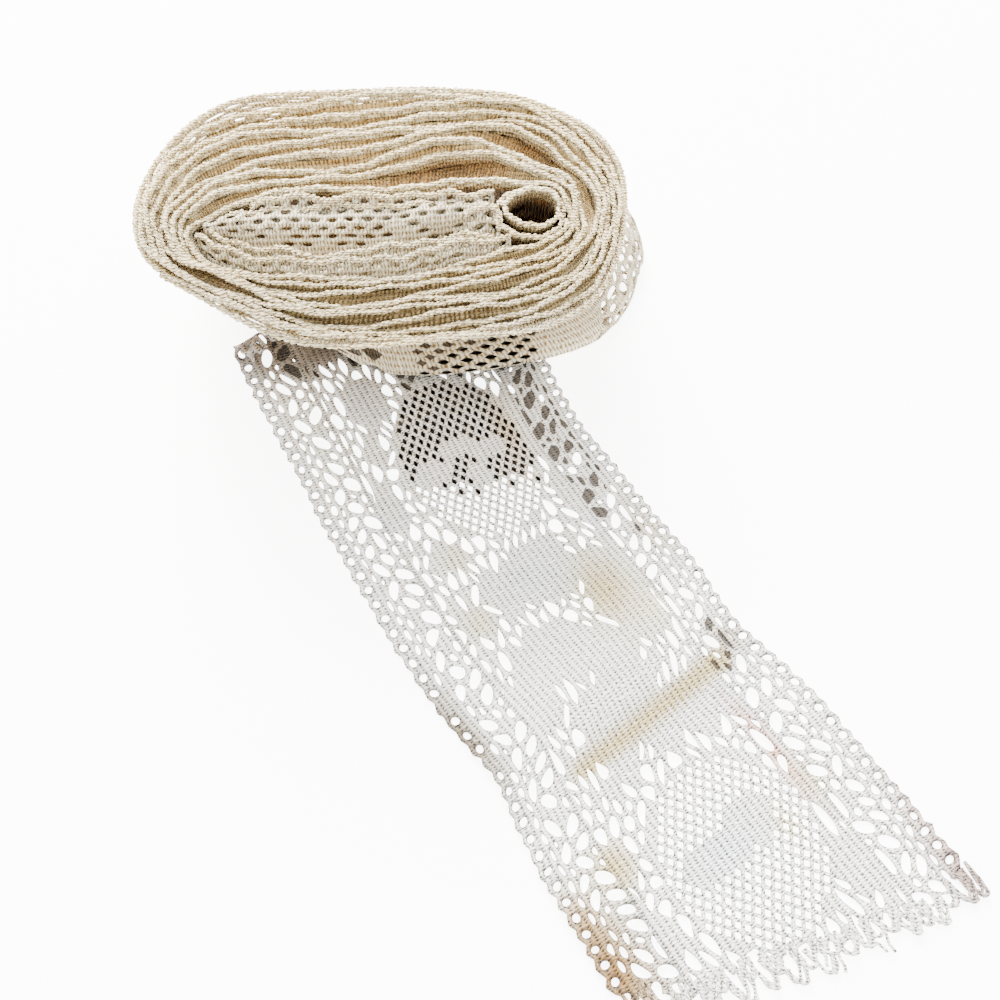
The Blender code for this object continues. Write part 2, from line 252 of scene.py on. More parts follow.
def outerPoint(turn, share):
    # a point of the last turn: share 0 at its upper edge, 1 at its tucked hem
    across = np.clip((turn - outerTurns[0]) / (outerTurns[-1] - outerTurns[0]), 0, 1) * outerAround
    down = np.clip(share, 0.0, 1.0) * outerDown
    i = np.minimum(across.astype(int), outerAround - 1)
    j = np.minimum(down.astype(int), outerDown - 1)
    a, b = (across - i)[..., None], (down - j)[..., None]
    point = (
        outerFine[i, j] * (1 - a) * (1 - b)
        + outerFine[i + 1, j] * a * (1 - b)
        + outerFine[i, j + 1] * (1 - a) * b
        + outerFine[i + 1, j + 1] * a * b
    )
    above = np.minimum(share, 0.0)[..., None] * outerRuns[i, -1][..., None]
    return point - above * unit(outerFine[i, 0] - outerFine[i, 4])


tailMarks = runAlong(np.array(tailStations)[:, :2])


def tailPoint(along, side):
    # a point of the loose end: distance along it, and -1 to 1 across it
    place = np.interp(along, tailMarks, np.arange(len(tailMarks)))
    row = curveThrough(tailStations, place)
    turn = np.radians(row[..., 2])
    travel = np.stack((np.sin(turn), -np.cos(turn)), axis=-1)
    across = np.stack((np.cos(turn), np.sin(turn)), axis=-1)
    overrun = along - np.clip(along, 0.0, tailMarks[-1])
    trimmed = np.exp(-(((along - tail["trimAt"]) / tail["trimSpread"]) ** 2))
    trim = tail["rightTrim"] * trimmed * np.maximum(side, 0.0)
    plan = row[..., 0:2] + travel * overrun[..., None] + across * (row[..., 6] * side - trim)[..., None]
    droop = row[..., 4] * smoothStep((-side - 0.45) / 0.5) + row[..., 5] * smoothStep((side - 0.5) / 0.5)
    ripple = 0.35 * (1 + np.sin(along / 9.0 + 3.0 * side)) * smoothStep((along - 70.0) / 30.0)
    level = np.maximum(row[..., 3] + ripple - droop, 0.0)
    crease = math.radians(tail["curlAngle"])
    normal = np.array((-math.sin(crease), math.cos(crease)))
    beyond = (plan - np.array(tail["curlPoint"])) @ normal
    beyond = np.where((beyond > 0) & (side < 0), beyond, 0.0)
    radius = tail["curlRadius"]
    bend = np.minimum(beyond / radius, math.pi)
    rest = np.maximum(beyond - radius * math.pi, 0.0)
    plan = plan + normal * (radius * np.sin(bend) - rest - beyond)[..., None]
    level = level + radius * (1 - np.cos(bend)) + tail["ply"]
    return np.concatenate((plan, level[..., None]), axis=-1)


def edgeLine(values, side):
    return curveThrough(values, (np.asarray(side) + 1) / 2 * (len(values) - 1))[..., 0]


# Lace is made flat, as a staggered net of cells, and then laid on its surface.
# The net's layer "rim" says what a corner is, and heights gives each kind its
# share of the crest's height.
crestMark, rimMark, filmMark, besideMark = range(4)
heights = np.array((1.0, 0.0, 0.25, 0.5))


def staggeredNet(columns, pitch, length, slant, scallop=(0.0, 0.0)):
    # columns are the lines between columns of cells, across the strip (x);
    # a cell is pitch long (y), and each column is half a cell off the next
    count = len(columns) - 1
    halves = 2 * int(round(length / pitch))
    net = bmesh.new()
    net.verts.layers.int.new("rim")
    bmesh.ops.create_grid(net, x_segments=count, y_segments=halves, size=0.5)
    crossways = []
    for vert in net.verts:
        vert.co.x = round((vert.co.x + 0.5) * count)
        vert.co.y = round((vert.co.y + 0.5) * halves)
    for edge in net.edges:
        a, b = (v.co for v in edge.verts)
        if a.y == b.y and 0 < a.y < halves and (a.y + min(a.x, b.x)) % 2 == 1:
            crossways.append(edge)
    bmesh.ops.dissolve_edges(net, edges=crossways, use_verts=False)
    for vert in net.verts:
        column, row = int(vert.co.x), int(vert.co.y)
        shift = 0.0
        if 0 < column < count:
            if (column + row) % 2:
                shift = -slant * (columns[column] - columns[column - 1])
            else:
                shift = slant * (columns[column + 1] - columns[column])
        elif column == 0 and row % 2:
            shift = -scallop[0]
        elif column == count and (row + count) % 2 == 0:
            shift = scallop[1]
        vert.co = (columns[column] + shift, row / halves * length, 0.0)
    return net


def mergeCells(net, cells, sizes, source):
    # joins neighbouring cells into larger gaps, of a few cells each
    free = set(cells)
    middles = {f: f.calc_center_median() for f in cells}
    order = sorted(cells, key=lambda f: (round(middles[f].y, 3), middles[f].x))
    source.shuffle(order)
    clusters = []
    for face in order:
        if face not in free:
            continue
        free.discard(face)
        cluster = [face]
        for _ in range(source.choice(sizes) - 1):
            near = {o for f in cluster for e in f.edges for o in e.link_faces if o in free}
            if not near:
                break
            best = min(near, key=lambda f: (round((middles[f] - middles[face]).length, 4), *middles[f]))
            free.discard(best)
            cluster.append(best)
        clusters.append(cluster)
    for cluster in clusters:
        if len(cluster) > 1:
            bmesh.ops.dissolve_faces(net, faces=cluster, use_verts=True)


def roundGaps(net, edges):
    # rounds the corners of the gaps that have these edges
    rim = net.verts.layers.int["rim"]
    made = bmesh.ops.subdivide_edges(net, edges=edges, cuts=1)
    for vert in (g for g in made["geom_inner"] if isinstance(g, bmesh.types.BMVert)):
        vert[rim] = rimMark
    edges = [e for e in net.edges if e.is_boundary and all(v[rim] == rimMark for v in e.verts)]
    for _ in range(2):
        beside = {}
        for first, second in (e.verts for e in edges):
            beside.setdefault(first, []).append(second.co.copy())
            beside.setdefault(second, []).append(first.co.copy())
        for vert, spots in beside.items():
            if len(spots) == 2:
                vert.co = 0.5 * vert.co + 0.25 * (spots[0] + spots[1])


def openCells(net, cells, thread, rounded=True):
    # leaves a thread of that half width round every cell and opens its middle
    rim = net.verts.layers.int["rim"]
    cells = [f for f in cells if f.is_valid]
    bmesh.ops.inset_individual(net, faces=cells, thickness=thread, use_even_offset=True)
    for face in cells:
        for vert in face.verts:
            vert[rim] = rimMark
    edges = list(dict.fromkeys(e for f in cells for e in f.edges))
    bmesh.ops.delete(net, geom=cells, context="FACES_ONLY")
    if rounded:
        roundGaps(net, edges)


def shadeCells(net, cells, thread):
    # painted shade: gaps get thin dark films, slightly sunk, for the shade of the layers below
    rim = net.verts.layers.int["rim"]
    cells = [f for f in cells if f.is_valid]
    for mark, step in ((besideMark, thread), (filmMark, pattern["filmRim"])):
        bmesh.ops.inset_individual(net, faces=cells, thickness=step, use_even_offset=True)
        for face in cells:
            for vert in face.verts:
                vert[rim] = mark


def surfaceAt(placeOf, flat):
    # points of a surface and its normals, at flat places x, y
    x, y, step = flat[:, 0], flat[:, 1], 0.4
    alongX = placeOf(x + step, y) - placeOf(x - step, y)
    alongY = placeOf(x, y + step) - placeOf(x, y - step)
    return placeOf(x, y), unit(np.cross(alongX, alongY))


def addObject(name, data):
    # a new object at the origin
    made = bpy.data.objects.new(name, data)
    bpy.context.scene.collection.objects.link(made)
    return made


def addMesh(name, shape):
    # a finished bmesh as an object
    data = bpy.data.meshes.new(name)
    shape.to_mesh(data)
    shape.free()
    return addObject(name, data)


def layLace(name, net, placeOf, crest, tintOf):
    # gives the flat net a body: its threads' crests stand off the surface on
    # both sides, and both sides meet along the rims of the gaps
    flat = np.array([v.co[:2] for v in net.verts])
    sum(f.calc_area() for f in net.faces)
    rim = net.verts.layers.int["rim"]
    number = net.verts.layers.int.new("number")
    below = net.verts.layers.int.new("below")
    chart = net.loops.layers.uv.new("clothMap")
    colour = net.verts.layers.float_color.new("tint")
    for index, vert in enumerate(net.verts):
        vert[number] = index
    mark = np.array([v[rim] for v in net.verts])
    onEdge = np.array([v.is_boundary for v in net.verts]) & (mark == crestMark)
    height = crest * heights[mark] * np.where(onEdge, pattern["edgeHeight"], 1.0)
    place, normal = surfaceAt(placeOf, flat)
    tint = tintOf(flat[:, 0], flat[:, 1])
    # painted shade: the films in shaded gaps are darkened
    tint[mark == filmMark] *= pattern["shadowFilmTint"]
    outline = []
    for edge in net.edges:
        if edge.is_boundary and not all(v[rim] == rimMark for v in edge.verts):
            outline.append([v[number] for v in edge.verts])
    made = bmesh.ops.duplicate(net, geom=net.verts[:] + net.edges[:] + net.faces[:])
    for copy in made["geom"]:
        if isinstance(copy, bmesh.types.BMVert):
            copy[below] = 1
    bmesh.ops.reverse_faces(net, faces=[g for g in made["geom"] if isinstance(g, bmesh.types.BMFace)])
    sides = ({}, {})
    for vert in net.verts:
        index = vert[number]
        sides[vert[below]][index] = vert
        offset = -height[index] if vert[below] else height[index]
        vert.co = (place[index] + normal[index] * offset) * mm
        vert[colour] = (*tint[index], 1.0)
    for first, second in outline:
        net.faces.new((sides[0][first], sides[0][second], sides[1][second], sides[1][first]))
    for face in net.faces:
        face.smooth = True
        for loop in face.loops:
            x, y = flat[loop.vert[number]]
            loop[chart].uv = (x / 10, y / 10)
    bmesh.ops.remove_doubles(net, verts=net.verts[:], dist=2e-6)
    bmesh.ops.recalc_face_normals(net, faces=net.faces[:])
    return addMesh(name, net)


def layThreads(name, lines, radius, tintOf):
    # threads and cords: each line of points, in millimetres, becomes a thin tube
    curve = bpy.data.curves.new(name, "CURVE")
    curve.dimensions = "3D"
    curve.bevel_depth = radius * mm
    curve.bevel_resolution = 0
    curve.use_fill_caps = True
    for line in lines:
        spline = curve.splines.new("POLY")
        spline.points.add(len(line) - 1)
        for point, spot in zip(spline.points, line):
            point.co = (*(np.array(spot[:3]) * mm), 1.0)
            point.radius = spot[3] if len(spot) > 3 else 1.0
    shape = addObject(name + "Line", curve)
    bpy.context.view_layer.update()
    data = bpy.data.meshes.new_from_object(shape.evaluated_get(bpy.context.evaluated_depsgraph_get()))
    bpy.data.objects.remove(shape)
    data.name = name
    tubes = bmesh.new()
    tubes.from_mesh(data)
    for _ in range(2):
        bmesh.ops.holes_fill(tubes, edges=[e for e in tubes.edges if e.is_boundary], sides=0)
    bmesh.ops.recalc_face_normals(tubes, faces=tubes.faces[:])
    tubes.to_mesh(data)
    tubes.free()
    spots = np.empty(len(data.vertices) * 3)
    data.vertices.foreach_get("co", spots)
    spots = spots.reshape(-1, 3) / mm
    tint = np.concatenate((tintOf(spots), np.ones((len(spots), 1))), axis=1)
    colour = data.color_attributes.new("tint", "FLOAT_COLOR", "POINT")
    colour.data.foreach_set("color", tint.ravel())
    corners = np.empty(len(data.loops), dtype=int)
    data.loops.foreach_get("vertex_index", corners)
    chart = data.uv_layers.new(name="clothMap")
    turned = np.stack((spots[:, 0] + 0.6 * spots[:, 2], spots[:, 1] + spots[:, 2]), axis=1) / 10
    chart.data.foreach_set("uv", turned[corners].ravel())
    data.polygons.foreach_set("use_smooth", np.ones(len(data.polygons), dtype=bool))
    return addObject(name, data)


def inEllipse(x, y, ellipse):
    # under 1 inside it
    cx, cy, rx, ry = ellipse
    return ((x - cx) / rx) ** 2 + ((y - cy) / ry) ** 2


# The strip's pattern, x across it from its middle, y along it.
pattern = {
    "before": 16.0,  # net ahead of the tail's start, which is cut away later
    "length": 248.0,
    "border": 15.5,  # width of the eyelet border on each side
    "borderLines": (0.0, 2.4, 5.4, 7.6, 9.8, 11.9, 15.5),
    "mergedTo": 10.2,  # the border's cells are joined this far out from its inner line
    "eyeletsFrom": 11.9,  # past here stand the eyelets of its edge
    "eyelet": 4.3,  # pitch of those eyelets
    "scallop": 0.9,
    "netPitch": 3.8,
    "netColumn": 1.5,
    "netSlant": 0.46,  # diamonds
    "eyeSlant": 0.14,  # nearly upright cells
    "turnSlant": 0.16,
    "netThread": 0.5,  # half widths of the threads round a gap
    "shadeThread": 0.38,
    "barThread": 0.55,
    "eyeThread": 0.62,
    "edgeThread": 0.98,
    "smallGap": 8.0,  # bars' gaps under this many square mm stay closed
    "smallEye": 11.5,  # most of the border's gaps under this stay open
    "crest": 0.36,  # half thickness of the lace at its middle
    "borderCrest": 0.42,
    "edgeHeight": 0.7,  # share of the crest's height along an outer edge
    "filmRim": 0.14,
    # painted shade: the colour of the dark films in shaded gaps
    "shadowFilmTint": (0.10, 0.085, 0.07),
}

medallions = (  # x, y, half width, half length
    (5.0, 57.0, 19.0, 26.5),
    (2.0, 184.0, 20.0, 24.0),
)

petals = (  # solid cloth: x, y, half width, half length
    (4.0, 53.0, 5.6, 3.4),
    (13.0, 56.5, 4.8, 3.6),
    (-6.5, 57.5, 6.0, 4.0),
    (6.0, 63.5, 3.6, 4.2),
    (26.0, 47.0, 3.2, 8.0),
    (28.0, 62.0, 3.2, 9.0),
    (25.5, 80.0, 2.6, 10.0),
    (-15.0, 29.5, 6.5, 8.0),
    (-19.0, 9.5, 7.5, 4.5),
    (-23.0, 63.5, 4.0, 7.5),
    (-19.0, 44.0, 3.0, 6.0),
    (-17.0, 82.0, 5.0, 5.0),
    (4.0, 97.0, 10.5, 10.0),
    (-8.5, 97.5, 5.5, 7.0),
    (18.5, 113.5, 8.0, 16.0),
    (27.5, 100.0, 3.2, 10.0),
    (-19.5, 102.0, 5.0, 4.5),
    (-7.5, 119.0, 11.5, 8.5),
    (5.0, 127.0, 8.0, 9.0),
    (-23.0, 128.0, 7.5, 8.5),
    (4.0, 144.8, 29.0, 4.0),
    (-2.0, 136.5, 14.0, 5.0),
    (16.0, 148.5, 6.5, 7.5),
    (4.0, 150.5, 4.5, 5.5),
    (-9.0, 150.0, 4.0, 6.0),
    (26.0, 152.0, 3.5, 8.0),
    (-4.0, 182.5, 10.5, 5.0),
    (8.0, 180.0, 6.5, 6.5),
    (-25.5, 170.0, 5.0, 5.5),
    (-26.0, 190.0, 4.5, 7.0),
    (26.5, 181.0, 3.6, 7.0),
    (23.5, 203.0, 5.0, 8.5),
)


def kindOf(x, y):
    # what fills the strip's middle here: cloth, net or bars
    for petal in petals:
        if inEllipse(x, y, petal) < 1:
            return "cloth"
    for medallion in medallions:
        share = inEllipse(x, y, medallion)
        if share < 1:
            return "net"
        if share < 1.12:
            return "cloth"
    return "bars"


def jitterNet(net, much, source, low, high):
    # moves the corners between these two lines a little, each its own way
    for vert in net.verts:
        if not vert.is_boundary and low < vert.co.x < high:
            vert.co.x += source.uniform(-much, much)
            vert.co.y += source.uniform(-much, much)


# painted shade: the gaps chosen here get dark films
shading = {  # how far along the tail gaps look dark, and which share of them
    "medallionTo": 57.0,
    "borderTo": 66.0,
    "borderShare": 0.85,
    "crease": (132.0, 148.0),
    "creaseShare": 0.55,
    "middleTo": 33.0,
    "middleShare": 0.6,
    "curlTo": 16.0,
    "curlShare": 0.45,
}
rolled = {"past": -37.0, "from": 110.0, "to": 137.0, "share": 0.7}


def isShaded(face, source):
    # painted shade: gaps near the roll, in its shadow, and at the right end of the crease are made dark
    x, y, _ = face.calc_center_median()
    much = 0.0
    if inEllipse(x, y, medallions[0]) < 1:
        much = 1.0 - float(smoothStep((y - shading["medallionTo"] - 0.4 * x) / 12.0))
    elif x > tail["halfWidth"] - pattern["border"]:
        much = shading["borderShare"] * (1.0 - float(smoothStep((y - shading["borderTo"]) / 45.0)))
        if shading["crease"][0] < y < shading["crease"][1]:
            much = shading["creaseShare"]
    elif y < shading["middleTo"] and x > -4.0:
        much = shading["middleShare"]
    elif y < shading["curlTo"] and -34.0 < x < -4.0:
        much = shading["curlShare"]
    return source.random() < much


def isRolled(face, source):
    # the left edge is rolled under along here, so few of its gaps show
    x, y, _ = face.calc_center_median()
    return x < rolled["past"] and rolled["from"] < y < rolled["to"] and source.random() < rolled["share"]


def loosenBars(net, keep):
    # softens the bars between the merged gaps, and lists the gaps that are large
    # enough to open; the faces in keep stay as they are
    loose = [v for v in net.verts if not v.is_boundary and all(f not in keep for f in v.link_faces)]
    for _ in range(3):
        bmesh.ops.smooth_vert(net, verts=loose, factor=0.45, use_axis_x=True, use_axis_y=True)
    return [f for f in net.faces if f not in keep and f.calc_area() > pattern["smallGap"]]


def makeTailMiddle(source):
    # medallions of net, petals of cloth, and bars with larger gaps round them
    inner = tail["halfWidth"] - pattern["border"]
    columns = np.linspace(-inner, inner, int(round(2 * inner / pattern["netColumn"])) + 1)
    middle = staggeredNet(columns, pattern["netPitch"], pattern["length"], pattern["netSlant"])
    kinds = {"net": [], "bars": [], "cloth": []}
    for vert in middle.verts:
        vert.co.y -= pattern["before"]
    for face in middle.faces:
        centre = face.calc_center_median()
        kinds[kindOf(centre.x, centre.y)].append(face)
    mergeCells(middle, kinds["bars"], (2, 2, 3, 3), source)
    bars = loosenBars(middle, {*kinds["cloth"], *kinds["net"]})
    shadedBars = [f for f in bars if isShaded(f, source)]
    shadedNet = [f for f in kinds["net"] if isShaded(f, source)]
    clearBars = [f for f in bars if f not in shadedBars]
    clearNet = [f for f in kinds["net"] if f not in shadedNet]
    shadeCells(middle, shadedBars, pattern["barThread"])
    shadeCells(middle, shadedNet, pattern["shadeThread"])
    openCells(middle, clearBars, pattern["barThread"])
    openCells(middle, clearNet, pattern["netThread"], False)
    for vert in middle.verts:
        if abs(abs(vert.co.x) - inner) < 1e-4:
            vert.co.x += math.copysign(source.uniform(-0.5, 0.9), vert.co.x)
    return middle


def makeTailBorder(side, source):
    # small gaps and an edge of eyelets, on the left for side -1 or the right for 1
    inner, eyeletsFrom = tail["halfWidth"] - pattern["border"], pattern["eyeletsFrom"]
    lines = sorted(side * (inner + step) for step in pattern["borderLines"])
    scallop = (0.0, pattern["scallop"])[::side]
    edge = staggeredNet(lines, pattern["eyelet"], pattern["length"], pattern["eyeSlant"], scallop)

    def outward(face):
        return side * face.calc_center_median().x - inner

    mergeCells(edge, [f for f in edge.faces if outward(f) < pattern["mergedTo"]], (1, 1, 2, 2), source)
    jitterNet(edge, 0.42, source, *sorted((side * (inner + 1.0), side * (inner + 12.0))))
    for vert in edge.verts:
        vert.co.y -= pattern["before"]
    for vert in edge.verts:
        if 11.0 < side * vert.co.x - inner < 12.5:
            vert.co.x += source.uniform(-0.5, 0.5)
            vert.co.y += source.uniform(-0.5, 0.5)
    wide = [f for f in edge.faces if outward(f) > eyeletsFrom and not isRolled(f, source)]
    rest = [f for f in edge.faces if outward(f) <= eyeletsFrom]
    rest = [f for f in rest if f.calc_area() > pattern["smallEye"] or source.random() < 0.8]
    rest = [f for f in rest if not isRolled(f, source)]
    shaded = [f for f in rest if isShaded(f, source)]
    clear = [f for f in rest if f not in shaded]
    shadeCells(edge, shaded, pattern["eyeThread"])
    openCells(edge, wide, pattern["edgeThread"])
    openCells(edge, clear, pattern["eyeThread"])
    for vert in edge.verts:
        if abs(vert.co.x) > tail["halfWidth"] - 1e-4 and vert.is_boundary:
            vert.co.y += source.uniform(-0.4, 0.4)
            vert.co.x += source.uniform(-0.3, 0.2)
        if abs(abs(vert.co.x) - inner) < 1e-4:
            vert.co.x -= side * source.uniform(0.3, 1.5)
    return edge


def cutToTail(net, source):
    # the net's cells outside the tail's ragged ends go
    gone = []
    for face in net.faces:
        x, y, _ = face.calc_center_median()
        side = x / tail["halfWidth"]
        curl = tail["curlReach"] * float(smoothStep((-side - 0.5) / 0.4))
        start = float(edgeLine(tail["startLine"], side)) - curl
        end = float(edgeLine(tail["endLine"], side)) - tail["frayed"] + source.uniform(-1.6, 1.2)
        if not start < y < end:
            gone.append(face)
    bmesh.ops.delete(net, geom=gone, context="FACES")


def blend(tint, other, share):
    # moves a tint towards another one, by each point's share
    tint, other = np.asarray(tint), np.asarray(other)
    return tint + share[:, None] * (other - tint)


# Stains of the loose end, and painted shade: the roll's shadow over its start, the rolled-under left edge
# and the crease's right end
stainsAndShade = (  # x, y, half width, half length, red, green, blue, strength
    (15.0, 111.0, 9.0, 13.0, 0.78, 0.69, 0.47, 1.0),
    (22.0, 122.0, 7.0, 10.0, 0.92, 0.87, 0.74, 0.7),
    (2.0, 97.0, 12.0, 10.0, 0.92, 0.96, 1.0, 0.9),
    (-19.5, 102.0, 6.0, 5.5, 0.86, 0.82, 0.68, 0.9),
    (-15.0, 83.0, 6.0, 6.0, 0.92, 0.88, 0.78, 0.8),
    (-15.0, 29.5, 8.0, 9.0, 0.86, 0.88, 0.93, 0.9),
    (-23.0, 63.5, 5.0, 9.0, 0.90, 0.92, 0.96, 0.8),
    (-26.5, 170.0, 6.0, 7.0, 0.76, 0.67, 0.44, 1.0),
    (-2.0, 182.0, 14.0, 8.0, 0.92, 0.95, 1.0, 0.9),
    (26.5, 151.0, 5.0, 8.0, 0.92, 0.95, 1.0, 0.8),
    (21.0, 53.0, 3.5, 9.0, 0.84, 0.74, 0.58, 0.9),
    (17.0, 66.0, 5.0, 6.0, 0.94, 0.86, 0.80, 0.7),
    (27.0, 180.5, 5.0, 7.0, 0.88, 0.82, 0.66, 0.8),
    (15.0, 186.0, 3.0, 7.0, 0.86, 0.80, 0.62, 0.8),
    (24.0, 168.0, 2.0, 15.0, 0.82, 0.56, 0.48, 1.0),
    (-40.5, 177.0, 5.5, 9.0, 0.66, 0.52, 0.32, 0.9),
    (-40.0, 190.0, 10.0, 16.0, 0.44, 0.30, 0.13, 1.0),
    (42.0, 217.0, 5.0, 17.0, 0.52, 0.42, 0.39, 1.0),
    (42.5, 203.0, 3.0, 14.0, 0.82, 0.70, 0.66, 0.8),
    # painted shade along the rolled-under left edge
    (-42.0, 123.0, 4.5, 18.0, 0.40, 0.34, 0.26, 1.0),
    (38.0, 100.0, 4.0, 14.0, 0.76, 0.70, 0.60, 0.8),
    # painted shade at the right end of the crease
    (36.0, 140.0, 7.0, 6.0, 0.66, 0.60, 0.52, 0.8),
    # painted shadow of the roll over the tail's start, in this row and the next three
    (-36.0, 1.0, 14.0, 13.0, 0.34, 0.28, 0.22, 1.0),
    (-18.0, 9.0, 17.0, 10.0, 0.28, 0.24, 0.20, 1.0),
    (4.0, 20.0, 16.0, 10.0, 0.48, 0.45, 0.41, 1.0),
    (26.0, 34.0, 18.0, 10.0, 0.60, 0.59, 0.58, 0.9),
)

# painted shade on the crease's front slope, which faces away from the light
paintedCreaseShade = {
    "along": 145.4,
    "slope": 0.06,
    "half": 3.0,
    "reach": 31.0,
    "tint": (0.76, 0.66, 0.42),
}
# the depth below works on the painted shade as well as on the stains
stainAndShadeDepth = 1.7  # deepens all the stains


def tailTint(x, y):
    # warm and cool stains of the loose end, with painted shade: the roll's shadow near its start, along the
    # rolled-under left edge and on the crease
    tint = np.ones((len(x), 3))
    for *ellipse, red, green, blue, much in stainsAndShade:
        tint = blend(tint, (red, green, blue), much * np.exp(-1.2 * inEllipse(x, y, ellipse)))
    # painted shade along the crease
    ridge = np.exp(-(((y - paintedCreaseShade["along"] + paintedCreaseShade["slope"] * x) / paintedCreaseShade["half"]) ** 4))
    ridge *= smoothStep((paintedCreaseShade["reach"] - np.abs(x - 5)) / 6.0)
    return blend(tint, paintedCreaseShade["tint"], ridge) ** stainAndShadeDepth


def tailPlace(x, y):
    return tailPoint(y, x / tail["halfWidth"])


def makeTail():
    netSource, cutSource = random.Random(7), random.Random(11)
    middle = makeTailMiddle(netSource)
    left, right = (makeTailBorder(side, netSource) for side in (-1, 1))
    pieces = []
    for name, net in (("tailMiddle", middle), ("tailLeftBorder", left), ("tailRightBorder", right)):
        cutToTail(net, cutSource)
        bmesh.ops.reverse_faces(net, faces=net.faces[:])
        crest = pattern["crest"] if net is middle else pattern["borderCrest"]
        pieces.append(layLace(name, net, tailPlace, crest, tailTint))
    return pieces


# Cotton
def weaveGroup():
    # ribs, crossing threads and fuzz, as a height and as a shade
    group = bpy.data.node_groups.new("cottonWeave", "ShaderNodeTree")
    for label, way in (("Ribs", "INPUT"), ("Grain", "INPUT"), ("Height", "OUTPUT"), ("Shade", "OUTPUT")):
        group.interface.new_socket(name=label, in_out=way, socket_type="NodeSocketFloat")
    nodes, links = group.nodes, group.links
    came, went = nodes.new("NodeGroupInput"), nodes.new("NodeGroupOutput")
    chart = nodes.new("ShaderNodeUVMap")
    chart.uv_map = "clothMap"
    ribs = nodes.new("ShaderNodeTexWave")  # ribs along the strip
    ribs.bands_direction = "X"
    ribs.inputs["Scale"].default_value = 1.75
    ribs.inputs["Distortion"].default_value = 1.2
    ribs.inputs["Detail"].default_value = 1.0
    ribs.inputs["Detail Scale"].default_value = 1.5
    threads = nodes.new("ShaderNodeTexWave")  # weft threads across it
    threads.bands_direction = "Y"
    threads.inputs["Scale"].default_value = 3.7
    threads.inputs["Distortion"].default_value = 5.0
    threads.inputs["Detail Scale"].default_value = 2.0
    fuzz = nodes.new("ShaderNodeTexNoise")
    place = nodes.new("ShaderNodeTexCoord")
    fuzz.inputs["Scale"].default_value = 1600.0
    fuzz.inputs["Detail"].default_value = 3.0
    links.new(chart.outputs["UV"], ribs.inputs["Vector"])
    links.new(chart.outputs["UV"], threads.inputs["Vector"])
    links.new(place.outputs["Object"], fuzz.inputs["Vector"])

    def combine(operation, *feeds):
        node = nodes.new("ShaderNodeMath")
        node.operation = operation
        for feed, socket in zip(feeds, node.inputs):
            links.new(feed, socket)
        return node.outputs[0]

    ribbed = combine("MULTIPLY", ribs.outputs["Fac"], came.outputs["Ribs"])
    woven = combine("ADD", ribbed, threads.outputs["Fac"])
    height = combine("MULTIPLY_ADD", fuzz.outputs["Fac"], came.outputs["Grain"], woven)
    links.new(height, went.inputs["Height"])
    shade = nodes.new("ShaderNodeMapRange")
    shade.inputs["From Min"].default_value = 0.42
    shade.inputs["From Max"].default_value = 1.2
    links.new(height, shade.inputs["Value"])
    links.new(shade.outputs["Result"], went.inputs["Shade"])
    return group


weave = weaveGroup()


def cotton(name, dark, light, ribs, grain, bump):
    material = bpy.data.materials.new(name)
    material.use_nodes = True
    nodes, links = material.node_tree.nodes, material.node_tree.links
    shader = nodes["Principled BSDF"]
    shader.inputs["Sheen Weight"].default_value = 0.15
    shader.inputs["Specular IOR Level"].default_value = 0.2
    cloth = nodes.new("ShaderNodeGroup")
    cloth.node_tree = weave
    cloth.inputs["Ribs"].default_value = ribs
    cloth.inputs["Grain"].default_value = grain
    # painted shade: the weave's hollows darken the colour towards dark
    tone = nodes.new("ShaderNodeMix")
    tone.data_type = "RGBA"
    tone.inputs["A"].default_value = (*dark, 1)
    tone.inputs["B"].default_value = (*light, 1)
    links.new(cloth.outputs["Shade"], tone.inputs["Factor"])
    tint = nodes.new("ShaderNodeAttribute")
    tint.attribute_name = "tint"
    stained = nodes.new("ShaderNodeMix")
    stained.data_type = "RGBA"
    stained.blend_type = "MULTIPLY"
    stained.inputs["Factor"].default_value = 1.0
    links.new(tone.outputs["Result"], stained.inputs["A"])
    links.new(tint.outputs["Color"], stained.inputs["B"])
    links.new(stained.outputs["Result"], shader.inputs["Base Color"])
    rough = nodes.new("ShaderNodeMapRange")
    rough.inputs["To Min"].default_value = 0.95
    rough.inputs["To Max"].default_value = 0.82
    links.new(cloth.outputs["Shade"], rough.inputs["Value"])
    links.new(rough.outputs["Result"], shader.inputs["Roughness"])
    relief = nodes.new("ShaderNodeBump")
    relief.inputs["Strength"].default_value = bump
    relief.inputs["Distance"].default_value = 0.0004
    links.new(cloth.outputs["Height"], relief.inputs["Height"])
    links.new(relief.outputs["Normal"], shader.inputs["Normal"])
    return material


looseCotton = cotton("looseCotton", (0.07, 0.06, 0.045), (0.98, 0.962, 0.90), 1.15, 0.6, 1.0)
woundCotton = cotton("woundCotton", (0.27, 0.17, 0.06), (0.98, 0.895, 0.66), 0.5, 0.6, 0.9)

tailPieces = makeTail()
print("loose end laid")


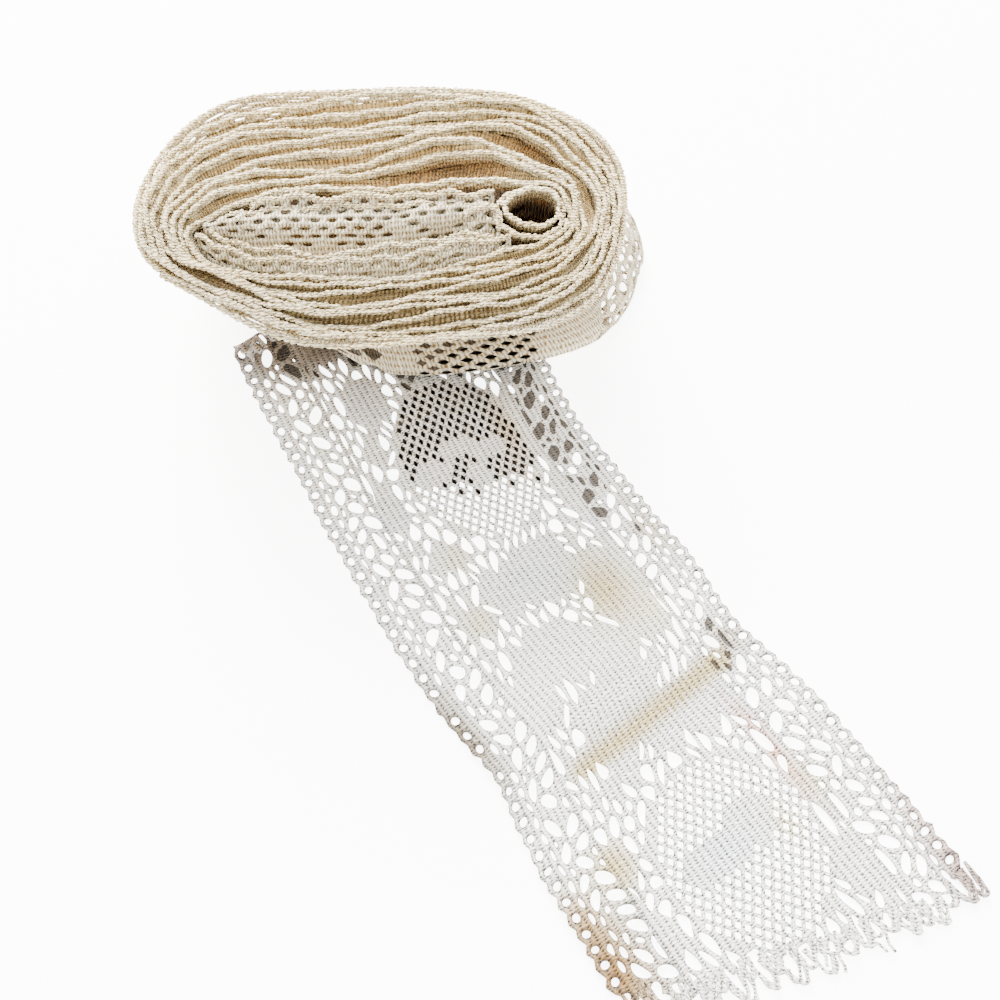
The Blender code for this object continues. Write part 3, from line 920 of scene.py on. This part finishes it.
# The wound strip
winding = {
    "loop": 4.4,  # pitch of the loops along its edges
    "tooth": 2.5,  # pitch of the twist in its edge cord
    "cord": 0.4,  # radius of one strand
    "twist": 0.42,  # and its distance from the cord's middle
    "strandStep": 0.62,
    "frill": 0.4,
    "lines": (0.0, 3.2, 6.4, 9.4, 13.0, 18.0, 28.0, 44.0, 60.0, 76.0, 80.5, 85.0),
    "loopThread": 0.95,  # half widths of the threads round a gap
    "smallThread": 0.85,
    "crest": 0.4,
    "light": (1.0, 0.97, 0.87),
    "cream": (0.97, 0.86, 0.62),
    "golden": (0.94, 0.80, 0.52),
    # the next two are painted shade, for the gaps between turns
    "warm": (0.80, 0.58, 0.32),
    "brown": (0.76, 0.50, 0.24),
}
windingSteps = 1801
windingTurns = np.linspace(0.0, roll["outerFrom"], windingSteps)
windingRun = runAlong(windingPoint(windingTurns, np.zeros(windingSteps)))


def windingPlace(x, y):
    # x below the edge and y along the strip, with the small waves of its edge
    turn = np.interp(y, windingRun, windingTurns)
    point = windingPoint(turn, x)
    row = curveThrough(rollStations, 18 * turn % 18, closed=True)
    away = unit(row[..., 2:4] - row[..., 0:2])
    wave = 0.7 * np.sin(y / 1.9 + 2.0 * np.sin(y / 23.0)) + 0.5 * np.sin(y / 6.3 + 1.5 * np.sin(y / 41.0))
    point[..., :2] += away * (winding["frill"] * wave * np.exp(-np.maximum(x, 0) / 9.0))[..., None]
    return point


def frontShade(tint, y, least):
    # the roll's front is darker than its back, down to this share
    return tint * (least + (1.0 - least) * smoothStep((y + 78.0) / 48.0))[:, None]


def windingTint(x, y):
    # painted shade: warmer and darker further below a turn's edge, down in the gaps, and darker towards the
    # roll's front; the golden patches are random tone
    turn = np.interp(y, windingRun, windingTurns)
    patch = 0.5 + 0.5 * np.sin(turn * 5.3 + 1.0) * np.sin(turn * 13.1)
    tint = blend(winding["light"], winding["warm"], smoothStep((x - 2.5) / 10.0))
    tint = blend(tint, winding["golden"], 0.3 * patch)
    return frontShade(tint, windingPoint(turn, np.zeros(len(turn)))[:, 1], 0.60)


def makeWinding():
    lines = winding["lines"]
    net = staggeredNet(lines, winding["loop"], windingRun[-1], pattern["turnSlant"], (1.0, 0.8))
    wide, small = [], []
    for face in net.faces:
        x = face.calc_center_median().x
        if x < lines[1] or x > lines[-2]:
            wide.append(face)
        elif x < lines[3] or x > lines[-3]:
            small.append(face)
    openCells(net, wide, winding["loopThread"], False)
    openCells(net, small, winding["smallThread"], False)
    return layLace("windingTurns", net, windingPlace, winding["crest"], windingTint)


def creamTint(spots):
    # random cream patches, and painted shade: darker towards the roll's front
    patch = 0.5 + 0.5 * np.sin(spots[:, 0] / 11.0 + 1.3) * np.sin(spots[:, 1] / 7.0)
    return frontShade(blend(winding["light"], winding["cream"], 0.7 * patch), spots[:, 1], 0.66)


def twistedCord(placeOf, length, rise, source):
    # two strands wound round each other along an edge
    run = np.arange(0.0, length, winding["strandStep"])
    twist = 2 * np.pi * run / winding["tooth"]
    strands = []
    for strand in range(2):
        angle = twist + strand * np.pi + 1.2 * np.sin(run / 9.0)
        down = -rise + winding["twist"] * np.cos(angle)
        point = placeOf(down, run)
        beside = placeOf(down, run + 0.3) - placeOf(down, run - 0.3)
        out = unit(np.stack((beside[:, 1], -beside[:, 0]), axis=1))
        point[:, :2] += out * (winding["twist"] * np.sin(angle))[:, None]
        thick = 1.0 + 0.32 * np.cos(twist) + 0.15 * np.sin(run / 3.7 + source.uniform(0, 6))
        strands.append(np.concatenate((point, thick[:, None]), axis=1))
    return strands


underPly = 0.4  # thickness of a plain layer below the lace


def layUnder(name, cloth, place, tint, chart):
    # a plain layer of cloth below the lace, on its grid's points, with a second
    # side a little lower that is joined to it round its outline
    uv = cloth.loops.layers.uv.new("clothMap")
    colour = cloth.verts.layers.float_color.new("tint")
    for index, vert in enumerate(cloth.verts):
        vert.co = place[index] * mm
        vert[colour] = (*tint[index], 1.0)
    cloth.verts.index_update()
    for face in cloth.faces:
        face.smooth = True
        for loop in face.loops:
            loop[uv].uv = chart[loop.vert.index]
    bmesh.ops.recalc_face_normals(cloth, faces=cloth.faces[:])
    made = bmesh.ops.duplicate(cloth, geom=cloth.verts[:] + cloth.edges[:] + cloth.faces[:])
    bmesh.ops.reverse_faces(cloth, faces=[g for g in made["geom"] if isinstance(g, bmesh.types.BMFace)])
    lower = [g for g in made["geom"] if isinstance(g, bmesh.types.BMVert)]
    bmesh.ops.translate(cloth, verts=lower, vec=(0.0, 0.0, -underPly * mm))
    bmesh.ops.bridge_loops(cloth, edges=[e for e in cloth.edges if e.is_boundary])
    bmesh.ops.recalc_face_normals(cloth, faces=cloth.faces[:])
    area = 0.5 * sum(f.calc_area() for f in cloth.faces) / mm**2
    return addMesh(name, cloth)


fold = {
    "across": 12,  # steps of its grid
    "along": 1250,
    "turns": roll["outerFrom"] - 0.98,
    "depth": 3.0,  # below the edges, in a narrow gap
    "deepen": 1.5,  # more for each mm that a gap is wider than usual
    "usual": 2.0,
    "ridge": 1.5,  # distance between the ridges in a gap
    "least": 1.2,
    "width": 14.0,
}


def makeFolds():
    # the cloth that shows between one turn's edge and the next
    folds = bmesh.new()
    bmesh.ops.create_grid(folds, x_segments=fold["across"], y_segments=fold["along"], size=0.5)
    x, y = np.array([v.co[:2] for v in folds.verts]).T + 0.5
    turn = y * fold["turns"]
    near, far = windingPoint(turn, np.zeros(len(turn))), windingPoint(turn + 1, np.zeros(len(turn)))
    apart = np.linalg.norm(far - near, axis=1)
    depth = fold["depth"] + fold["deepen"] * np.clip(apart - fold["usual"], 0.0, 8.0)
    ridges = np.abs(np.sin(np.pi * x * np.maximum(apart / fold["ridge"], 1.0)))
    depth = depth - (0.9 + 0.14 * depth) * ridges + 0.5 * np.sin(turn * 60.0 + 5 * x)
    depth = np.maximum(depth, fold["least"])
    share = (0.06 + 0.88 * x)[:, None]
    place = windingPoint(turn, depth) * (1 - share) + windingPoint(turn + 1, depth) * share
    # painted shade: browner where a gap is deeper, and darker towards the roll's front
    tint = blend(winding["golden"], winding["brown"], smoothStep((depth - 2.0) / 8.0))
    chart = np.stack((depth / 10, y * 190.0), axis=1)
    tint = frontShade(tint, near[:, 1], 0.52)
    return layUnder("windingFolds", folds, place, tint, chart)


# The core: the strip's inner end lies across it, rolled to a loop at the right.
core = {
    "tongueWidth": 21.0,
    "tongueFrom": -42.0,
    "tongueTo": 27.0,
    "tongueLines": (0.0, 2.4, 5.4, 7.8, 10.2, 12.6, 15.0, 18.0, 21.0),
    "ringLines": (0.0, 2.8, 6.0, 10.0, 16.0, 25.0),
    "rings": (  # x, y, half length, half depth, height
        (35.6, -40.9, 6.6, 5.3, 74.2),
        (34.9, -42.2, 8.2, 7.0, 73.8),
    ),
    "cell": 4.2,  # pitch of the cells along the tongue and the ruffles
    "thread": 0.85,  # half widths of the threads round a gap
    "fineThread": 0.8,
    "crest": 0.38,
    "top": 74.0,
    "level": 73.0,
    "lean": 0.52,  # how far the slot moves back for each mm down
    "trough": 13.0,  # depths below that level: in front, under the back turn, in the loop
    "ledge": 7.0,
    "loop": 30.0,
    "floorFrom": -44.0,
    "floorTo": 43.0,
    "floorWidth": 28.0,
    # painted shade: the deep folds of the core are one dark brown
    "deepShadeTint": (0.52, 0.34, 0.17),
}
tongueLength = core["tongueTo"] - core["tongueFrom"]
frontRow = turnPoint(np.zeros(81), np.linspace(0.2, 8.8, 81))[::-1]
backRow = turnPoint(np.zeros(81), np.linspace(9.2, 17.8, 81))


def corePoint(x, share, lift):
    # across the core's slot from its front to its back, and down inside the loop
    front = np.interp(x, frontRow[:, 0], frontRow[:, 1])
    back = np.interp(x, backRow[:, 0], backRow[:, 1])
    trough = core["trough"] * (1 - smoothStep((share - 0.15) / 0.65))
    ledge = core["ledge"] * smoothStep((share - 0.86) / 0.08)
    inLoop = smoothStep((x - 25.0) / 3.5)
    walls = smoothStep(share / 0.1) * smoothStep((1 - share) / 0.1)
    drop = (trough + ledge) * (1 - inLoop) + core["loop"] * inLoop * walls
    level = core["level"] - drop + lift
    y = front + (back - front) * share + core["lean"] * (core["top"] - level)
    return np.stack((x, y, level), axis=-1)


def tonguePlace(x, y):
    share = 0.87 - 0.76 * np.clip(x, -2.0, core["tongueWidth"]) / core["tongueWidth"]
    ruffle = 0.7 * np.sin(y / 2.7 + 0.25 * x) + 0.9 * np.sin(y / 7.1 - 0.15 * x)
    return corePoint(core["tongueFrom"] + y, share, 1.4 + ruffle * smoothStep(1 - (x / 26.0)))


def tongueTint(x, y):
    # painted shade: greyer and browner further across the tongue, where it sinks into the core, and further
    # down each ruffle
    return blend((0.80, 0.79, 0.76), (0.62, 0.52, 0.38), smoothStep((x - 8.0) / 14.0))


def makeTongue():
    lines, source = core["tongueLines"], random.Random(5)
    net = staggeredNet(lines, core["cell"], tongueLength, pattern["turnSlant"], (1.2, 0.6))
    jitterNet(net, 0.4, source, 1.0, 20.0)
    middles = [(f, f.calc_center_median().x) for f in net.faces]
    wide = [f for f, x in middles if x < lines[2]]
    small = [f for f, x in middles if lines[2] < x < lines[5] and source.random() < 0.5]
    small += [f for f, x in middles if x > lines[7]]
    openCells(net, wide, core["fineThread"])
    openCells(net, small, core["thread"])
    bmesh.ops.reverse_faces(net, faces=net.faces[:])
    return layLace("innerTongue", net, tonguePlace, core["crest"], tongueTint)


# Loose layers of the strip's inner end beside the tongue: the top edge of each
ruffles = {
    "frontRuffle": {"width": 12.0, "lean": 0.1, "rows": (  # x, y, height
        (-43.5, -49.0, 73.0), (-39.0, -53.0, 74.0), (-30.0, -56.0, 74.6), (-18.5, -57.4, 74.2),
        (-7.0, -57.4, 74.8), (5.0, -56.0, 74.4), (16.0, -53.4, 75.2), (24.0, -50.9, 74.6),
        (30.5, -50.2, 74.8),
    )},
    "innerRuffle": {"width": 11.0, "lean": 0.15, "rows": (
        (-40.5, -47.5, 72.4), (-36.0, -50.3, 73.2), (-28.0, -53.0, 72.6), (-18.0, -54.6, 73.4),
        (-8.0, -54.2, 72.6), (3.0, -52.4, 73.6), (13.0, -50.4, 72.8), (21.0, -48.6, 73.6),
        (26.5, -49.2, 73.0),
    )},
    "backRuffle": {"width": 12.0, "lean": 0.2, "rows": (
        (-40.5, -44.6, 71.8), (-34.0, -42.8, 73.2), (-26.0, -41.6, 72.6), (-16.0, -41.4, 73.8),
        (-6.0, -40.6, 72.8), (4.0, -40.8, 74.2), (14.0, -40.4, 72.8), (21.0, -40.3, 73.6),
        (26.0, -39.6, 72.8),
    )},
    "upperRuffle": {"width": 12.0, "lean": 0.2, "rows": (
        (-31.0, -41.2, 74.6), (-22.0, -40.2, 75.8), (-12.0, -39.6, 74.8), (-2.0, -39.5, 76.0),
        (8.0, -39.0, 74.6), (17.0, -38.4, 75.2), (22.5, -37.8, 74.4), (26.5, -37.3, 74.8),
    )},
    "smallFlap": {"width": 10.5, "lean": 0.35, "rows": (
        (19.5, -45.2, 73.6), (21.8, -43.4, 75.2), (24.6, -42.6, 76.4), (27.2, -43.6, 76.0),
        (28.2, -45.8, 75.0), (27.4, -48.0, 73.8),
    )},
}


def rufflePlace(ruffle, phase):
    rows = np.array(ruffle["rows"])
    marks = runAlong(rows[:, :2])
    fine = np.linspace(0.0, marks[-1], 200)
    line = np.stack([np.interp(fine, marks, rows[:, k]) for k in range(3)], axis=1)
    for _ in range(30):
        line[1:-1] = 0.25 * line[:-2] + 0.5 * line[1:-1] + 0.25 * line[2:]

    def place(x, y):
        top = np.stack([np.interp(y, fine, line[:, k]) for k in range(3)], axis=-1)
        ripple = 0.5 * np.sin(y / 1.7 + phase + 1.4 * np.sin(y / 8.0)) + 0.35 * np.sin(y / 4.3 + 2 * phase)
        top[..., 1] += ripple * np.exp(-np.maximum(x, 0.0) / 10.0) - ruffle["lean"] * x
        top[..., 2] += 0.45 * np.sin(y / 3.1 + phase) - x
        return top

    return place, marks[-1]


def makeRuffles():
    source = random.Random(17)
    pieces, cords = [], []
    for number, (name, ruffle) in enumerate(ruffles.items()):
        place, length = rufflePlace(ruffle, 1.9 * number)
        lines = (0.0, 2.6, 5.4, 8.4, ruffle["width"])
        pitch = length / round(length / core["cell"])
        net = staggeredNet(lines, pitch, length, pattern["turnSlant"], (pattern["scallop"], 0.0))
        jitterNet(net, 0.3, source, 1.0, lines[-1] - 1.0)
        middles = [(f, f.calc_center_median().x) for f in net.faces]
        first = [f for f, x in middles if x < lines[1]]
        others = [f for f, x in middles if lines[1] < x < lines[3] and source.random() < 0.75]
        openCells(net, first, core["thread"])
        openCells(net, others, core["fineThread"])
        bmesh.ops.reverse_faces(net, faces=net.faces[:])
        pieces.append(layLace(name, net, place, core["crest"], tongueTint))
        cords += twistedCord(place, length, 1.1, source)
    return pieces, cords


def ringPlace(ring):
    # round the loop of the core, a little short of a full turn
    cx, cy, rx, ry, height = ring
    length = math.pi * (3 * (rx + ry) - math.sqrt((3 * rx + ry) * (rx + 3 * ry)))

    def place(x, y):
        angle = 1.99 * np.pi * y / length
        wave = 0.25 * np.sin(9 * angle)
        return np.stack((
            cx + (rx + wave) * np.cos(angle),
            cy + (ry + wave) * np.sin(angle) + 0.55 * x,
            height - x + 0.7 * np.sin(2 * angle),
        ), axis=-1)

    return place, length


def ringTint(x, y):
    # painted shade as in windingTint, darker further down the ring
    return windingTint(x * 0.8, y)


def makeRings():
    pieces = []
    for number, ring in enumerate(core["rings"]):
        place, length = ringPlace(ring)
        lines = core["ringLines"]
        pitch = length / round(length / winding["loop"])
        net = staggeredNet(lines, pitch, length, pattern["turnSlant"], (pattern["scallop"], 0.0))
        openCells(net, [f for f in net.faces if f.calc_center_median().x < lines[2]], winding["loopThread"])
        pieces.append(layLace("coreRing%d" % (number + 1), net, place, winding["crest"], ringTint))
    return pieces


def makeCoreFloor():
    # the deep folds that close the core below the tongue and inside the loop
    bed = bmesh.new()
    bmesh.ops.create_grid(bed, x_segments=60, y_segments=16, size=0.5)
    flat = np.array([v.co[:2] for v in bed.verts]) + 0.5
    x = core["floorFrom"] + (core["floorTo"] - core["floorFrom"]) * flat[:, 0]
    share = 0.03 + 0.94 * flat[:, 1]
    place = corePoint(x, share, -3.0 + 0.8 * np.sin(x / 2.1 + 9 * share))
    # painted shade: one dark brown for the deep core
    tint = np.tile(core["deepShadeTint"], (len(x), 1))
    chart = np.stack((flat[:, 1] * 2.4, flat[:, 0] * 8.7), axis=1)
    return layUnder("coreFloor", bed, place, tint, chart)


turnsPiece = makeWinding()
folds = makeFolds()
tongue = makeTongue()
rings = makeRings()
ruffled, ruffleCords = makeRuffles()
coreFloor = makeCoreFloor()
cordSource = random.Random(3)
edgeCords = twistedCord(windingPlace, windingRun[-1], 1.3, cordSource)
edgeCord = layThreads("edgeCord", edgeCords, winding["cord"], creamTint)
coreCords = twistedCord(tonguePlace, tongueLength, 1.2, cordSource)
for ring in core["rings"]:
    coreCords += twistedCord(*ringPlace(ring), 1.0, cordSource)
coreCord = layThreads("coreCord", coreCords + ruffleCords, winding["cord"], creamTint)
print("turns wound")


# The last turn, which flares to the floor and leads to the loose end
lastTurn = {
    "width": 100.0,
    "length": float(runAlong(outerFine[:, 60])[-1]),
    "medallion": (19.0, 27.0),  # half width and half length
    "firstMedallion": (42.0, 38.0),  # x, y
    "repeat": 76.0,
    "netThread": 0.55,  # half widths of the threads round a gap
    "freeThread": 0.72,
    "shadeThread": 0.42,
    "light": (1.0, 0.985, 0.95),
    # painted shade, lower down the last turn
    "grey": (0.66, 0.64, 0.60),
}


def outerPlace(x, y):
    turn = outerTurns[0] + y / lastTurn["length"] * (outerTurns[-1] - outerTurns[0])
    return outerPoint(turn, x / lastTurn["width"])


def outerSpot(face):
    # where the middle of a cell comes to lie
    centre = face.calc_center_median()
    return outerPlace(np.array((centre.x,)), np.array((centre.y,)))[0]


def outerTint(x, y):
    # painted shade: the last turn greys towards the floor, lower on its wall and skirt
    return blend(lastTurn["light"], lastTurn["grey"], smoothStep((60.0 - outerPlace(x, y)[:, 2]) / 50.0))


def outerKind(face):
    # medallions all round; the hem at the front follows the photo, left to right
    x, y, _ = face.calc_center_median()
    spotX, spotY, spotZ = outerSpot(face)
    if x < 12:
        return "eyelets"
    if spotZ > 20 or spotY > 5:
        for k in range(5):
            middleX, middleY = lastTurn["firstMedallion"]
            middle = (middleX + 3 * math.sin(k), middleY + lastTurn["repeat"] * k)
            share = inEllipse(x, y, (*middle, *lastTurn["medallion"]))
            if share < 1:
                return "net"
            if share < 1.2:
                return "cloth"
        return "cloth" if 26 < x < 60 and y % (lastTurn["repeat"] / 2) < 9 else "bars"
    if spotX < -10:
        return "eyelets"
    if spotX < 5:
        return "cloth" if inEllipse(spotX, spotY, (-1.0, -41.0, 4.5, 6.0)) < 1 else "bars"
    if spotX < 38:
        return "net"
    return "cloth" if spotX < 56 else "eyelets"


def makeOuter():
    source = random.Random(5)
    columns = np.linspace(0.0, lastTurn["width"], int(round(lastTurn["width"] / pattern["netColumn"])) + 1)
    net = staggeredNet(columns, pattern["netPitch"], lastTurn["length"], pattern["netSlant"], (0.8, 0.8))
    kinds = {"net": [], "bars": [], "cloth": [], "eyelets": []}
    for face in net.faces:
        kinds[outerKind(face)].append(face)
    mergeCells(net, kinds["bars"], (2, 3, 3, 4), source)
    mergeCells(net, kinds["eyelets"], (2, 3), source)
    bars = loosenBars(net, {*kinds["cloth"], *kinds["net"]})
    shaded, clear, free = [], [], []
    for face in kinds["net"] + bars:
        spotX, spotY, spotZ = outerSpot(face)
        # painted shade: gaps of the front's hem get dark films
        if spotZ < 34 and spotY < -10 and spotX < 52:
            shaded.append(face)  # the front's hem, close to the turns below it
        elif spotX > 50:
            free.append(face)  # the right end, which stands clear of them
        else:
            clear.append(face)
    shadeCells(net, shaded, lastTurn["shadeThread"])
    openCells(net, clear, lastTurn["netThread"])
    openCells(net, free, lastTurn["freeThread"])
    return layLace("outerTurn", net, outerPlace, pattern["crest"], outerTint)


outer = makeOuter()
outerCords = twistedCord(outerPlace, lastTurn["length"], 0.9, cordSource)
outerCord = layThreads("outerCord", outerCords, winding["cord"], creamTint)
print("last turn laid")


# The cut end
fray = {
    "from": -41.0,
    "to": 41.0,
    "thread": 0.4,
    "width": (2.6, 5.2),  # of one loop
    "reach": (3.5, 9.0),
    "under": 2.2,  # how far the loops start inside the cut lace
}


def makeFrayedEnd():
    # loops and loose ends of thread along the cut
    source = random.Random(23)
    lines = []
    x = fray["from"]
    while x < fray["to"]:
        width, reach = source.uniform(*fray["width"]), source.uniform(*fray["reach"])
        start = float(edgeLine(tail["endLine"], x / tail["halfWidth"])) - tail["frayed"] - fray["under"]
        for strand in range(source.choice((2, 3, 4))):
            # strands that run side by side round one loop
            steps = np.linspace(0.0, 1.0, 15)
            slack = source.uniform(-0.5, 0.5)
            across = x + (width + slack) * steps + 0.3 * np.sin(steps * 17 + x + strand) + slack
            along = start + (reach + 1.6 * slack) * np.sin(np.pi * steps) ** 0.55
            point = tailPoint(along, np.clip(across / tail["halfWidth"], -1.02, 1.02))
            point[:, 2] += 0.3 + 0.6 * np.sin(np.pi * steps) * source.uniform(0.0, 1.6)
            lines.append(point)
        if source.random() < 0.5:
            steps = np.linspace(0.0, 1.0, 9)
            across = x + source.uniform(-2.5, 2.5) * steps**2 + 0.3 * np.sin(steps * 9 + x)
            point = tailPoint(start + source.uniform(5.0, 9.0) * steps, across / tail["halfWidth"])
            point[:, 2] += 0.3 + source.uniform(0.0, 1.0) * steps
            lines.append(point)
        x += width * source.uniform(0.55, 1.0)
    return lines


def endTint(spots):
    # the frayed end's stains, from places near its last station
    turn = math.radians(tailStations[-1][2])
    apart = spots[:, :2] - np.array(tailStations[-1][:2])
    across = apart @ np.array((math.cos(turn), math.sin(turn)))
    along = apart @ np.array((math.sin(turn), -math.cos(turn))) + tailMarks[-1]
    return tailTint(across, along)


frayed = layThreads("frayedEnd", makeFrayedEnd(), fray["thread"], endTint)

loosePieces = [*tailPieces, frayed]
woundPieces = [turnsPiece, folds, tongue, *rings, *ruffled, coreFloor, edgeCord, coreCord, outer, outerCord]
for piece in loosePieces:
    piece.data.materials.append(looseCotton)
    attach(piece, "root")
for piece in woundPieces:
    piece.data.materials.append(woundCotton)
    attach(piece, "root")


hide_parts("loose_tail")
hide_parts("wound_roll")

# Floor, light and camera
floorShape = bmesh.new()
bmesh.ops.create_grid(floorShape, x_segments=1, y_segments=1, size=3.0)
floor = addMesh("floor", floorShape)
floor.location.z = -0.0002
paper = bpy.data.materials.new("paleFloor")
paper.use_nodes = True
paperShader = paper.node_tree.nodes["Principled BSDF"]
paperShader.inputs["Base Color"].default_value = (0.95, 0.95, 0.95, 1)
paperShader.inputs["Roughness"].default_value = 0.9
paperShader.inputs["Emission Color"].default_value = (1.0, 1.0, 1.0, 1)
paperShader.inputs["Emission Strength"].default_value = 6.0
floor.data.materials.append(paper)

world = bpy.data.worlds.new("studio")
bpy.context.scene.world = world
world.use_nodes = True
world.node_tree.nodes["Background"].inputs["Color"].default_value = (1.0, 1.0, 1.0, 1)
world.node_tree.nodes["Background"].inputs["Strength"].default_value = 2.8


def aimed(thing, place, aim):
    # sets a light or the camera at its place, looking at its aim
    thing.location = place
    thing.rotation_euler = (Vector(aim) - Vector(place)).to_track_quat("-Z", "Y").to_euler()
    return thing


def softLight(name, place, aim, size, power):
    data = bpy.data.lights.new(name, "AREA")
    data.size = size
    data.energy = power
    aimed(addObject(name, data), place, aim)


softLight("backLight", (-0.25, 0.75, 0.9), (0.03, -0.08, 0.0), 0.8, 80.0)
softLight("topLight", (0.1, -0.1, 1.2), (0.03, -0.08, 0.0), 1.0, 28.0)

cameraData = bpy.data.cameras.new("camera")
cameraData.lens = 54.0
cameraData.sensor_width = 36.0
camera = aimed(addObject("camera", cameraData), (0.028, -0.2595, 0.364), (0.028, -0.082, 0.0))
bpy.context.scene.camera = camera
